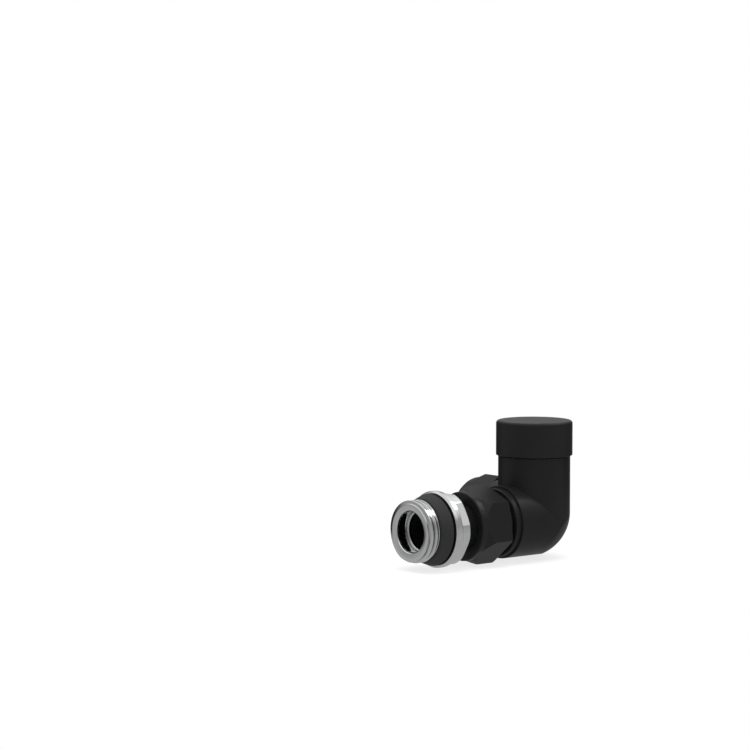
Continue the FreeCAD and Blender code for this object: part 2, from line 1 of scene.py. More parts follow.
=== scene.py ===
"""Corner lockshield valve: fine modelling, finishes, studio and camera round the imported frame.

Lengths are metres. Outlines are lists of (along the axis, radius), measured outwards from the
crossing of the three barrel axes. A sub-assembly draws its pieces along +Z and places them on
its own axis.
"""
import logging
import math
from abc import ABC, abstractmethod
from dataclasses import dataclass, field
from enum import Enum
from functools import lru_cache
from typing import Callable

import bmesh
import bpy
from mathutils import Matrix, Vector


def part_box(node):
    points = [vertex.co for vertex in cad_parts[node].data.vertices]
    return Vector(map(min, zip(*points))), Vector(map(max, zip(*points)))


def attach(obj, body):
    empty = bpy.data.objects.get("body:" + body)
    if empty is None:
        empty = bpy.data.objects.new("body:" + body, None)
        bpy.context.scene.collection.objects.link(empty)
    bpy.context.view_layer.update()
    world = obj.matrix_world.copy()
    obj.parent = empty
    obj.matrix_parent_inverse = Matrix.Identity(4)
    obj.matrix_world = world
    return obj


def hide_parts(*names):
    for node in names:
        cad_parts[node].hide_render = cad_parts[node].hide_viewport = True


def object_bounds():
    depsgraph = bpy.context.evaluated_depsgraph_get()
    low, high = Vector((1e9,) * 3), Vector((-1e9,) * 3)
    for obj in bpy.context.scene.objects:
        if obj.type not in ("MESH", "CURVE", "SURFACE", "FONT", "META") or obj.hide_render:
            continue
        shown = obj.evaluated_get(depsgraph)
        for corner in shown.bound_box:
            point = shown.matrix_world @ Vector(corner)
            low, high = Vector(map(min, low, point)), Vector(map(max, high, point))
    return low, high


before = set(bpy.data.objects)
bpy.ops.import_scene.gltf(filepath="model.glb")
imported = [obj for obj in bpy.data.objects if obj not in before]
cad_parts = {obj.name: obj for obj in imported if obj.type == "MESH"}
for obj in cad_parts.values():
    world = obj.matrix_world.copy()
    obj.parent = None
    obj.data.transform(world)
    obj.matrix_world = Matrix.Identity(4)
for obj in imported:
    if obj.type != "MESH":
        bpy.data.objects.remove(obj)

log = logging.getLogger("lockshield_valve")

MM = 0.001
STEPS = 144                # facets round a turned piece, a multiple of six
WELD = 1e-6                # vertices nearer than this are one
SPOTS_PER_METRE = 900.0    # how fine the patches in rubbed edges are
SPOT_FLOOR = 0.25          # rub that even the thinnest patch shows
BANDS_PER_METRE = 900.0    # how often a turned face's sheen changes
CAD_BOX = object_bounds()

Outline = list[tuple[float, float]]


def crossing() -> Vector:
    """Where the three barrel axes meet.

    Returns:
        The point over which the cap stands, at the height of the tail's axis.
    """
    cap_low, cap_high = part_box("lockshield_cap")
    tube_low, tube_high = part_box("tail_tube")
    middle = (cap_low + cap_high) / 2
    return Vector((middle.x, middle.y, (tube_low.z + tube_high.z) / 2))


CROSSING = crossing()


class Axis(Enum):
    """The three barrel axes. Pieces are drawn along +Z and turned onto one of them."""

    SPINDLE = "spindle"
    RADIATOR = "radiator"
    PIPE = "pipe"

    def placement(self) -> Matrix:
        """The transform from a drawing along +Z to this axis."""
        turns = {
            Axis.SPINDLE: Matrix.Identity(4),
            Axis.RADIATOR: Matrix.Rotation(math.radians(90), 4, "X"),
            Axis.PIPE: Matrix.Rotation(math.radians(-90), 4, "Y"),
        }
        return Matrix.Translation(CROSSING) @ turns[self]

    def span(self, node: str) -> tuple[float, float]:
        """How far out along this axis a CAD node starts and ends.

        Args:
            node: The CAD node's name.

        Returns:
            The nearest and the furthest distance from the crossing.
        """
        low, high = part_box(node)
        if self is Axis.SPINDLE:
            return low.z - CROSSING.z, high.z - CROSSING.z
        if self is Axis.RADIATOR:
            return CROSSING.y - high.y, CROSSING.y - low.y
        return CROSSING.x - high.x, CROSSING.x - low.x

    def radius(self, node: str) -> float:
        """The largest radius of a turned CAD node round this axis."""
        low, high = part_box(node)
        spans = high - low
        across = {Axis.SPINDLE: (spans.x, spans.y), Axis.RADIATOR: (spans.x, spans.z),
                  Axis.PIPE: (spans.y, spans.z)}
        return min(across[self]) / 2


# Meshes

def turned(outline: Outline, steps: int = STEPS) -> bmesh.types.BMesh:
    """Turns a closed outline about +Z.

    Args:
        outline: The closed outline as (along, radius) points.
        steps: The number of facets round the axis.

    Returns:
        A closed mesh whose faces point outwards.
    """
    mesh = bmesh.new()
    ring = [mesh.verts.new((radius, 0.0, along)) for along, radius in outline]
    edges = [mesh.edges.new((a, b)) for a, b in zip(ring, ring[1:] + ring[:1])]
    bmesh.ops.spin(mesh, geom=ring + edges, cent=(0, 0, 0), axis=(0, 0, 1), dvec=(0, 0, 0),
                   angle=2 * math.pi, steps=steps, use_merge=True, use_duplicate=False)
    bmesh.ops.remove_doubles(mesh, verts=mesh.verts[:], dist=WELD)
    bmesh.ops.recalc_face_normals(mesh, faces=mesh.faces[:])
    return mesh


def mill_flats(mesh: bmesh.types.BMesh, flats: float, turn: float, sides: int = 6) -> None:
    """Mills a turned blank to a regular prism over its flats.

    Args:
        mesh: The closed blank, about +Z.
        flats: The distance over the flats.
        turn: The angle of a corner from +X, in degrees.
        sides: The number of flats.
    """
    for side in range(sides):
        angle = math.radians(turn) + 2 * math.pi * (side + 0.5) / sides
        normal = Vector((math.cos(angle), math.sin(angle), 0))
        cut = bmesh.ops.bisect_plane(mesh, geom=mesh.verts[:] + mesh.edges[:] + mesh.faces[:],
                                     dist=WELD / 10, plane_co=normal * flats / 2,
                                     plane_no=normal, clear_outer=True)
        rim = [item for item in cut["geom_cut"] if isinstance(item, bmesh.types.BMEdge)]
        open_rim = [edge for edge in rim if edge.is_valid and edge.is_boundary]
        bmesh.ops.edgeloop_fill(mesh, edges=open_rim)
    bmesh.ops.remove_doubles(mesh, verts=mesh.verts[:], dist=WELD)
    bmesh.ops.recalc_face_normals(mesh, faces=mesh.faces[:])


def break_edges(mesh: bmesh.types.BMesh, width: float, segments: int = 2,
                over: float = 24.0, within: Callable[[Vector], bool] | None = None) -> None:
    """Rounds the edges that are sharper than an angle.

    Args:
        mesh: The closed mesh.
        width: How far the rounding reaches from the edge.
        segments: The number of facets over the rounding.
        over: Only edges whose faces turn by more than this, in degrees, are rounded.
        within: A test on an edge's middle, or None for all edges.
    """
    limit = math.radians(over)
    chosen = []
    for edge in mesh.edges:
        if len(edge.link_faces) != 2 or edge.calc_face_angle(0.0) < limit:
            continue
        if within is None or within((edge.verts[0].co + edge.verts[1].co) / 2):
            chosen.append(edge)
    bmesh.ops.bevel(mesh, geom=chosen, offset=width, offset_type="OFFSET", affect="EDGES",
                    segments=segments, profile=0.5, material=-1, clamp_overlap=True)


def merged_copy(node: str) -> bmesh.types.BMesh:
    """A CAD node's mesh with its loose triangles merged and its flat faces made whole.

    Args:
        node: The CAD node's name.

    Returns:
        The merged mesh, in the row frame.
    """
    mesh = bmesh.new()
    mesh.from_mesh(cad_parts[node].data)
    bmesh.ops.remove_doubles(mesh, verts=mesh.verts[:], dist=WELD)
    bmesh.ops.dissolve_limit(mesh, angle_limit=math.radians(0.4), verts=mesh.verts[:],
                             edges=mesh.edges[:], use_dissolve_boundaries=False)
    return mesh


def smooth_share(share: float) -> float:
    """A share that leaves 0 and reaches 1 without a kink."""
    held = max(0.0, min(1.0, share))
    return held * held * (3 - 2 * held)


# Shader nodes

class Graph:
    """A node tree with short ways to add, set and join nodes."""

    def __init__(self, tree: bpy.types.NodeTree) -> None:
        """Keeps the tree to build in."""
        self.tree = tree

    def add(self, kind: str, inputs: dict | None = None, **settings) -> bpy.types.Node:
        """Adds a node.

        Args:
            kind: The node's type name.
            inputs: Values or output sockets, by input name.
            **settings: Properties of the node.

        Returns:
            The new node.
        """
        node = self.tree.nodes.new(kind)
        for name, value in settings.items():
            setattr(node, name, value)
        for name, value in (inputs or {}).items():
            self.feed(node.inputs[name], value)
        return node

    def feed(self, socket: bpy.types.NodeSocket, value) -> None:
        """Links an output to an input socket, or sets its value."""
        if isinstance(value, bpy.types.NodeSocket):
            self.tree.links.new(value, socket)
        else:
            socket.default_value = value

    def math(self, operation: str, first, second=0.0, clamp: bool = False) -> bpy.types.NodeSocket:
        """Adds a Math node.

        Args:
            operation: The operation's name.
            first: Its first value or socket.
            second: Its second value or socket.
            clamp: Whether the result is kept from 0 to 1.

        Returns:
            The result's socket.
        """
        node = self.tree.nodes.new("ShaderNodeMath")
        node.operation = operation
        node.use_clamp = clamp
        self.feed(node.inputs[0], first)
        self.feed(node.inputs[1], second)
        return node.outputs[0]

    def between(self, share, low: float, high: float) -> bpy.types.NodeSocket:
        """Spreads a socket that runs from 0 to 1 over a range."""
        node = self.add("ShaderNodeMapRange", {"Value": share, "To Min": low, "To Max": high})
        return node.outputs["Result"]

    def blend(self, share, first, second) -> bpy.types.NodeSocket:
        """Mixes two colours by a socket that runs from 0 to 1.

        Args:
            share: How much of the second colour there is.
            first: A colour or a socket.
            second: A colour or a socket.

        Returns:
            The mixed colour's socket.
        """
        node = self.tree.nodes.new("ShaderNodeMix")
        node.data_type = "RGBA"
        self.feed(node.inputs[0], share)
        for slot, colour in ((6, first), (7, second)):
            plain = isinstance(colour, tuple)
            self.feed(node.inputs[slot], (*colour, 1.0) if plain else colour)
        return node.outputs[2]


class EffectGroup:
    """A shader node group that several finishes share."""

    def __init__(self, name: str, inputs: dict[str, float], outputs: list[str]) -> None:
        """Makes the group and its sockets.

        Args:
            name: The group's name.
            inputs: The value inputs and their defaults.
            outputs: The names of the value outputs.
        """
        self.tree = bpy.data.node_groups.new(name, "ShaderNodeTree")
        for socket, value in inputs.items():
            made = self.tree.interface.new_socket(socket, in_out="INPUT",
                                                  socket_type="NodeSocketFloat")
            made.default_value = value
        for socket in outputs:
            self.tree.interface.new_socket(socket, in_out="OUTPUT",
                                           socket_type="NodeSocketFloat")
        self.graph = Graph(self.tree)
        self.source = self.tree.nodes.new("NodeGroupInput")
        self.sink = self.tree.nodes.new("NodeGroupOutput")

    def give(self, output: str, socket: bpy.types.NodeSocket) -> None:
        """Joins a socket to one of the group's outputs."""
        self.tree.links.new(socket, self.sink.inputs[output])


@lru_cache(maxsize=None)
def grain_effect() -> bpy.types.NodeTree:
    """Fine grain with a slow drift, for coatings, plastic and rubber.

    Returns:
        The group: Size and Drift Size in, Height and Drift out.
    """
    group = EffectGroup("fine_grain", {"Size": 0.0004, "Drift Size": 0.02}, ["Height", "Drift"])
    graph = group.graph
    place = graph.add("ShaderNodeTexCoord").outputs["Object"]
    fine = graph.add("ShaderNodeTexNoise", {
        "Vector": place, "Detail": 4.0, "Roughness": 0.6,
        "Scale": graph.math("DIVIDE", 1.0, group.source.outputs["Size"])})
    slow = graph.add("ShaderNodeTexNoise", {
        "Vector": place, "Detail": 2.0, "Roughness": 0.5,
        "Scale": graph.math("DIVIDE", 1.0, group.source.outputs["Drift Size"])})
    group.give("Height", fine.outputs["Fac"])
    group.give("Drift", slow.outputs["Fac"])
    return group.tree


@lru_cache(maxsize=None)
def edge_effect() -> bpy.types.NodeTree:
    """A mask that is 1 along sharp edges, broken up by a fine noise.

    Returns:
        The group: Width and Strength in, Mask out.
    """
    group = EffectGroup("edge_rub", {"Width": 0.0003, "Strength": 4.0}, ["Mask"])
    graph = group.graph
    rounded = graph.add("ShaderNodeBevel", {"Radius": group.source.outputs["Width"]}, samples=6)
    plain = graph.add("ShaderNodeNewGeometry")
    match = graph.add("ShaderNodeVectorMath", operation="DOT_PRODUCT")
    graph.feed(match.inputs[0], rounded.outputs["Normal"])
    graph.feed(match.inputs[1], plain.outputs["Normal"])
    apart = graph.math("SUBTRACT", 1.0, match.outputs["Value"])
    place = graph.add("ShaderNodeTexCoord").outputs["Object"]
    spots = graph.add("ShaderNodeTexNoise", {
        "Vector": place, "Scale": SPOTS_PER_METRE, "Detail": 3.0})
    broken = graph.math("ADD", spots.outputs["Fac"], SPOT_FLOOR)
    uneven = graph.math("MULTIPLY", apart, broken)
    strong = graph.math("MULTIPLY", uneven, group.source.outputs["Strength"], clamp=True)
    group.give("Mask", strong)
    return group.tree


@lru_cache(maxsize=None)
def turning_effect() -> bpy.types.NodeTree:
    """Fine rings that a lathe tool leaves, stacked along the piece's own +Z.

    Returns:
        The group: Spacing and Along in, Height and Sheen out.
    """
    group = EffectGroup("tool_rings", {"Spacing": 0.0002, "Along": 0.0}, ["Height", "Sheen"])
    graph = group.graph
    rings = graph.add("ShaderNodeTexNoise", {
        "W": graph.math("DIVIDE", group.source.outputs["Along"], group.source.outputs["Spacing"]),
        "Scale": 1.0, "Detail": 3.0}, noise_dimensions="1D")
    bands = graph.add("ShaderNodeTexNoise", {
        "W": graph.math("MULTIPLY", group.source.outputs["Along"], BANDS_PER_METRE),
        "Scale": 1.0, "Detail": 1.0}, noise_dimensions="1D")
    group.give("Height", rings.outputs["Fac"])
    group.give("Sheen", bands.outputs["Fac"])
    return group.tree


# Finishes

@dataclass(frozen=True)
class Finish(ABC):
    """A surface finish that can be put on a piece."""

    name: str

    @abstractmethod
    def paint(self, graph: Graph, shader: bpy.types.Node) -> None:
        """Sets the shader and builds the nodes that feed it."""

    def material(self) -> bpy.types.Material:
        """The material of this finish, made once."""
        made = bpy.data.materials.get(self.name)
        if made is not None:
            return made
        made = bpy.data.materials.new(self.name)
        made.use_nodes = True
        made.node_tree.nodes.clear()
        graph = Graph(made.node_tree)
        shader = graph.add("ShaderNodeBsdfPrincipled")
        output = graph.add("ShaderNodeOutputMaterial")
        made.node_tree.links.new(shader.outputs["BSDF"], output.inputs["Surface"])
        self.paint(graph, shader)
        return made

    @staticmethod
    def effect(graph: Graph, tree: bpy.types.NodeTree, **values) -> bpy.types.Node:
        """Places a shared effect group in a material with its own values."""
        node = graph.add("ShaderNodeGroup", node_tree=tree)
        for name, value in values.items():
            graph.feed(node.inputs[name.replace("_", " ")], value)
        return node

    @staticmethod
    def bump(graph: Graph, shader: bpy.types.Node, height, depth: float, strength: float) -> None:
        """Feeds a height to the shader's normal.

        Args:
            graph: The material's graph.
            shader: The Principled shader.
            height: The height socket, from 0 to 1.
            depth: How deep a full step is, in metres.
            strength: How strongly it tilts the surface.
        """
        node = graph.add("ShaderNodeBump", {"Height": height, "Distance": depth,
                                            "Strength": strength})
        graph.feed(shader.inputs["Normal"], node.outputs["Normal"])


@dataclass(frozen=True)
class SatinCoat(Finish):
    """A baked satin coating over metal, or moulded plastic of the same look."""

    dark: tuple = (0.0085, 0.0085, 0.0088)
    light: tuple = (0.0125, 0.0125, 0.0128)
    edge: tuple = (0.030, 0.030, 0.031)
    smooth: float = 0.34
    rough: float = 0.42
    grain: float = 0.00035
    drift: float = 0.012
    rub_width: float = 0.00025
    rub: float = 2.0
    depth: float = 0.000012
    strength: float = 0.35
    gloss: float = 0.20

    def paint(self, graph: Graph, shader: bpy.types.Node) -> None:
        """Sets a near-black coat with fine grain and faintly paler edges."""
        grain = self.effect(graph, grain_effect(), Size=self.grain, Drift_Size=self.drift)
        edges = self.effect(graph, edge_effect(), Width=self.rub_width, Strength=self.rub)
        tone = graph.blend(grain.outputs["Drift"], self.dark, self.light)
        rubbed = graph.blend(edges.outputs["Mask"], tone, self.edge)
        graph.feed(shader.inputs["Base Color"], rubbed)
        spread = graph.between(grain.outputs["Drift"], self.smooth, self.rough)
        graph.feed(shader.inputs["Roughness"], spread)
        shader.inputs["Specular IOR Level"].default_value = self.gloss
        self.bump(graph, shader, grain.outputs["Height"], self.depth, self.strength)


@dataclass(frozen=True)
class PlatedMetal(Finish):
    """Polished chrome plate, with painted shade darkening its grooves."""

    tint: tuple = (0.83, 0.835, 0.84)
    dull: tuple = (0.74, 0.745, 0.75)
    smooth: float = 0.05
    rough: float = 0.12
    groove_shade: tuple = (0.10, 0.10, 0.10)
    groove: float = 0.0009
    groove_power: float = 1.6
    grain: float = 0.0006
    drift: float = 0.004
    depth: float = 0.000004
    strength: float = 0.12

    def paint(self, graph: Graph, shader: bpy.types.Node) -> None:
        """Sets a bright plate with faint smears, painted shade in its grooves and a slight
        waviness.
        """
        grain = self.effect(graph, grain_effect(), Size=self.grain, Drift_Size=self.drift)
        shader.inputs["Metallic"].default_value = 1.0
        tone = graph.blend(grain.outputs["Drift"], self.tint, self.dull)
        # Painted shade: ambient occlusion darkens the plate's colour towards a dark grey in
        # grooves and recesses.
        shelter = graph.add("ShaderNodeAmbientOcclusion", {"Distance": self.groove}, samples=8)
        unshaded = graph.math("POWER", shelter.outputs["AO"], self.groove_power)
        graph.feed(shader.inputs["Base Color"], graph.blend(unshaded, self.groove_shade, tone))
        spread = graph.between(grain.outputs["Drift"], self.smooth, self.rough)
        graph.feed(shader.inputs["Roughness"], spread)
        self.bump(graph, shader, grain.outputs["Height"], self.depth, self.strength)


@dataclass(frozen=True)
class TurnedMetal(Finish):
    """Bare brass as it leaves the lathe, with rings along one axis."""

    axis: Axis = Axis.SPINDLE
    tint: tuple = (0.80, 0.58, 0.28)
    dull: tuple = (0.62, 0.42, 0.19)
    smooth: float = 0.20
    rough: float = 0.36
    spacing: float = 0.00009
    grain: float = 0.0003
    drift: float = 0.003
    depth: float = 0.000010
    strength: float = 0.35

    def paint(self, graph: Graph, shader: bpy.types.Node) -> None:
        """Sets brass with tool rings and a little tarnish."""
        place = graph.add("ShaderNodeTexCoord").outputs["Object"]
        parts = graph.add("ShaderNodeSeparateXYZ", {"Vector": place})
        letter = {Axis.SPINDLE: "Z", Axis.RADIATOR: "Y", Axis.PIPE: "X"}[self.axis]
        rings = self.effect(graph, turning_effect(), Spacing=self.spacing,
                            Along=parts.outputs[letter])
        grain = self.effect(graph, grain_effect(), Size=self.grain, Drift_Size=self.drift)
        shader.inputs["Metallic"].default_value = 1.0
        graph.feed(shader.inputs["Base Color"],
                   graph.blend(grain.outputs["Drift"], self.tint, self.dull))
        graph.feed(shader.inputs["Roughness"],
                   graph.between(rings.outputs["Sheen"], self.smooth, self.rough))
        self.bump(graph, shader, rings.outputs["Height"], self.depth, self.strength)


@dataclass(frozen=True)
class SealStock(Finish):
    """Moulded rubber or plastic of the small soft parts."""

    dark: tuple = (0.010, 0.010, 0.011)
    light: tuple = (0.018, 0.018, 0.019)
    smooth: float = 0.46
    rough: float = 0.60
    grain: float = 0.00022
    drift: float = 0.006
    depth: float = 0.000012
    strength: float = 0.4
    clear: float = 0.0
    clear_depth: float = 0.001

    def paint(self, graph: Graph, shader: bpy.types.Node) -> None:
        """Sets an even soft surface with a fine moulded grain."""
        grain = self.effect(graph, grain_effect(), Size=self.grain, Drift_Size=self.drift)
        tone = graph.blend(grain.outputs["Drift"], self.dark, self.light)
        graph.feed(shader.inputs["Base Color"], tone)
        spread = graph.between(grain.outputs["Drift"], self.smooth, self.rough)
        graph.feed(shader.inputs["Roughness"], spread)
        shader.inputs["Subsurface Weight"].default_value = self.clear
        shader.inputs["Subsurface Scale"].default_value = self.clear_depth
        self.bump(graph, shader, grain.outputs["Height"], self.depth, self.strength)


BODY_COAT = SatinCoat("body_satin_black")
TUBE_COAT = SatinCoat("tube_gloss_black", smooth=0.20, rough=0.27, gloss=0.8)
CAP_MOULDING = SatinCoat("cap_moulded_black", dark=(0.0095,) * 3, light=(0.0135,) * 3,
                         smooth=0.40, rough=0.48, grain=0.00022, depth=0.000010)
CHROME = PlatedMetal("polished_chrome")
SEAL_RUBBER = SealStock("seal_rubber")
WASHER_RUBBER = SealStock("washer_rubber", dark=(0.014,) * 3, light=(0.022,) * 3)
NYLON = SealStock("natural_nylon", dark=(0.66, 0.64, 0.58), light=(0.76, 0.75, 0.70),
                  smooth=0.36, rough=0.48, clear=0.3)
PTFE = SealStock("ptfe", dark=(0.80, 0.80, 0.79), light=(0.88, 0.88, 0.87),
                 smooth=0.42, rough=0.52, clear=0.1)
BRASS_UPRIGHT = TurnedMetal("turned_brass_spindle", axis=Axis.SPINDLE)
BRASS_RADIATOR = TurnedMetal("turned_brass_radiator", axis=Axis.RADIATOR)
BRASS_PIPE = TurnedMetal("turned_brass_pipe", axis=Axis.PIPE)


# Pieces

def dress(node: str, finish: Finish) -> None:
    """Gives a CAD node a finish.

    Args:
        node: The CAD node's name.
        finish: The finish for its whole surface.
    """
    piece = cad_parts[node]
    for place in piece.material_slots:
        place.material = finish.material()
    if not piece.material_slots:
        piece.data.materials.append(finish.material())
    log.info("%s carried over as %s", node, finish.name)


def hand_in(mesh: bmesh.types.BMesh, node: str, body: str, finish: Finish,
            place: Matrix | None = None) -> bpy.types.Object:
    """Makes an object of a mesh that stands for a CAD node.

    Args:
        mesh: The finished mesh, which is freed.
        node: The CAD node that it stands for.
        body: The CAD body that it rides on.
        finish: Its finish.
        place: The transform of the mesh into the row frame, or None if it is there.

    Returns:
        The new object.
    """
    if place is not None:
        bmesh.ops.transform(mesh, matrix=place, verts=mesh.verts[:])
    data = bpy.data.meshes.new(node + "_fine")
    mesh.to_mesh(data)
    mesh.free()
    data.shade_smooth()
    data.materials.append(finish.material())
    piece = bpy.data.objects.new(node + "_fine", data)
    bpy.context.scene.collection.objects.link(piece)
    weighted = piece.modifiers.new("face_weighted", "WEIGHTED_NORMAL")
    weighted.keep_sharp = True
    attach(piece, body)
    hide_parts(node)
    log.info("%s: %d faces on %s", piece.name, len(data.polygons), body)
    return piece


@dataclass
class Cap:
    """The plain round cap and its liner."""

    wall: float = 1.4 * MM
    top: float = 1.5 * MM
    crown: float = 1.0 * MM
    crown_facets: int = 8
    edge: float = 0.25 * MM

    def shell(self) -> bmesh.types.BMesh:
        """The cap's shell, with a rounded crown and a broken rim."""
        low, high = Axis.SPINDLE.span("lockshield_cap")
        outer = Axis.SPINDLE.radius("lockshield_cap")
        mesh = turned([
            (low, outer), (high, outer), (high, 0.0),
            (high - self.top, 0.0), (high - self.top, outer - self.wall),
            (low, outer - self.wall),
        ])
        break_edges(mesh, self.crown, self.crown_facets,
                    within=lambda at: at.z > high - self.top / 2)
        break_edges(mesh, self.edge, 3, over=60)
        return mesh

    def build(self) -> None:
        """Makes the cap and dresses its liner."""
        hand_in(self.shell(), "lockshield_cap", "cap", CAP_MOULDING,
                Axis.SPINDLE.placement())
        dress("cap_liner", NYLON)


@dataclass
class Coupling:
    """One port's compression nut and olive."""

    axis: Axis
    nut: str
    nut_body: str
    olive: str
    olive_finish: Finish
    turn: float
    flats: float = 23.0 * MM
    bore: float = 10.378 * MM
    hole: float = 7.65 * MM
    chamfer: float = 3.0 * MM
    collar: float = 2.3 * MM
    collar_radius: float = 11.648 * MM
    dish: float = 1.1 * MM
    rim: float = 0.35 * MM
    lead: float = 0.6 * MM
    lead_length: float = 0.348 * MM
    cone: float = 1.4 * MM
    edge: float = 0.16 * MM

    def nut_mesh(self) -> bmesh.types.BMesh:
        """The nut: hexagon, long front chamfer, collar and a dished end face."""
        start, end = self.axis.span(self.nut)
        corner = self.flats / math.sqrt(3)
        collar_start = end - self.collar
        floor = end - self.dish
        mesh = turned([
            (start, corner - self.lead),
            (start + self.lead_length, corner),
            (collar_start - self.chamfer, corner),
            (collar_start, self.collar_radius),
            (end - self.rim, self.collar_radius),
            (end, self.collar_radius - self.rim),
            (floor, self.hole),
            (floor - self.cone, self.hole),
            (floor - 2 * self.cone, self.hole + self.cone),
            (floor - 2 * self.cone, self.bore),
            (start + self.rim, self.bore),
            (start, self.bore + self.rim),
        ])
        mill_flats(mesh, self.flats, self.turn)
        break_edges(mesh, self.edge, 2, over=14)
        return mesh

    def build(self) -> None:
        """Makes the nut and dresses the olive."""
        hand_in(self.nut_mesh(), self.nut, self.nut_body, BODY_COAT,
                self.axis.placement())
        dress(self.olive, self.olive_finish)


@dataclass
class RadiatorTail:
    """The tube, the chrome connector and its seal ring."""

    tube: float = 7.55 * MM
    tube_bore: float = 6.4 * MM
    flats: float = 23.2 * MM
    corner: float = 12.3 * MM
    hexagon: float = 3.8 * MM
    flange: float = 1.7 * MM
    bevel: float = 0.46 * MM
    bevel_length: float = 0.8 * MM
    neck: float = 9.866 * MM
    root: float = 9.316 * MM
    crest: float = 10.478 * MM
    pitch: float = 1.814 * MM
    rings_per_pitch: int = 24
    runout: float = 0.45 * MM
    first_crest: float = 1.5 * MM
    thread: float = 4.4 * MM
    end_bevel: float = 0.55 * MM
    face: float = 8.7 * MM
    lip: float = 7.0 * MM
    lip_length: float = 1.2 * MM
    mouth_dish: float = 0.32 * MM
    bore: float = 7.4 * MM
    bore_depth: float = 5.1 * MM
    ledge: float = 1.4 * MM
    edge: float = 0.14 * MM
    seal_play: float = 0.05 * MM
    seal_nose: float = 0.70 * MM
    seal_edge: float = 0.85 * MM
    seal_round: float = 0.3 * MM

    def thread_radius(self, along: float, angle: float, start: float, end: float) -> float:
        """The radius of the right-hand thread at a place on it.

        Args:
            along: The place along the axis.
            angle: The angle round the axis.
            start: Where the thread starts, by the neck.
            end: The end of the connector, where the cone brings the thread to nothing.

        Returns:
            The radius, which runs out to the neck and under the end's cone.
        """
        turns = (along - end + self.first_crest) / self.pitch - angle / (2 * math.pi)
        wave = max(-1.0, min(1.0, 1.25 * math.cos(2 * math.pi * turns)))
        middle, half = (self.crest + self.root) / 2, (self.crest - self.root) / 2
        cut = middle + half * wave
        inner = smooth_share((along - start) / self.runout)
        cone = self.face + (end - along) / self.end_bevel * (self.crest - self.face)
        return min(self.neck * (1 - inner) + cut * inner, cone)

    def front(self) -> bmesh.types.BMesh:
        """The flange, neck, helical thread, end face and stepped bore."""
        _, end = Axis.RADIATOR.span("tail_connector")
        thread_start = end - self.end_bevel - self.thread
        seal_start, _ = Axis.RADIATOR.span("tail_seal_ring")
        flange_start = Axis.RADIATOR.span("tail_connector")[0] + self.hexagon
        outer = Axis.RADIATOR.radius("tail_connector")
        flange_end = flange_start + self.flange
        length = end - thread_start
        count = round(length / self.pitch * self.rings_per_pitch)
        rings = [(thread_start + length * i / count, self.crest) for i in range(count)]
        mesh = turned([
            (flange_start, self.tube),
            (flange_start, outer - self.edge), (flange_start + self.edge, outer),
            (flange_end, outer), (flange_end + self.bevel_length, outer - self.bevel),
            (flange_end + self.bevel_length, self.neck),
            *rings,
            (end, self.face),
            (end - self.mouth_dish, self.lip + 2 * self.edge),
            (end - self.mouth_dish - 2 * self.edge, self.lip),
            (end - self.lip_length, self.lip), (end - self.lip_length, self.bore),
            (end - self.bore_depth, self.bore), (end - self.bore_depth, self.tube_bore),
            (end - self.bore_depth - self.ledge, self.tube_bore),
            (end - self.bore_depth - self.ledge, self.tube),
        ])
        for vertex in mesh.verts:
            along, radius = vertex.co.z, math.hypot(vertex.co.x, vertex.co.y)
            if along > thread_start - WELD and abs(radius - self.crest) < WELD:
                angle = math.atan2(vertex.co.y, vertex.co.x)
                share = self.thread_radius(along, angle, thread_start, end) / radius
                vertex.co.x *= share
                vertex.co.y *= share
        break_edges(mesh, self.edge, 2, over=22, within=lambda at: at.z < seal_start
                    or at.xy.length < self.lip + 3 * self.edge)
        return mesh

    def waist(self) -> bmesh.types.BMesh:
        """The hexagon with its corners turned down."""
        start, _ = Axis.RADIATOR.span("tail_connector")
        end = start + self.hexagon
        mesh = turned([
            (start, self.tube), (start, self.corner - 4 * self.edge),
            (start + 2 * self.edge, self.corner), (end + self.edge, self.corner),
            (end + self.edge, self.tube),
        ])
        mill_flats(mesh, self.flats, 0.0)
        break_edges(mesh, self.edge, 2, over=14)
        return mesh

    def connector(self) -> bmesh.types.BMesh:
        """The whole chrome end: the hexagon's shell set against the flange."""
        mesh = self.front()
        waist = self.waist()
        holder = bpy.data.meshes.new("waist_holder")
        waist.to_mesh(holder)
        waist.free()
        mesh.from_mesh(holder)
        bpy.data.meshes.remove(holder)
        return mesh

    def seal(self) -> bmesh.types.BMesh:
        """The tapered seal ring, with rounded edges."""
        start, end = Axis.RADIATOR.span("tail_seal_ring")
        outer = Axis.RADIATOR.radius("tail_seal_ring")
        inner = self.neck + self.seal_play
        nose = self.neck + self.seal_nose
        mesh = turned([
            (start, inner), (start, outer - self.seal_edge),
            (start + self.seal_edge, outer), (end - self.seal_edge / 2, nose + self.seal_edge / 5),
            (end, nose - self.seal_edge / 2), (end, inner),
        ])
        break_edges(mesh, self.seal_round, 4, over=20)
        return mesh

    def build(self) -> None:
        """Makes the connector and its seal ring and dresses the tube."""
        hand_in(self.connector(), "tail_connector", "tail", CHROME,
                Axis.RADIATOR.placement())
        dress("tail_tube", TUBE_COAT)
        hand_in(self.seal(), "tail_seal_ring", "tail", SEAL_RUBBER,
                Axis.RADIATOR.placement())


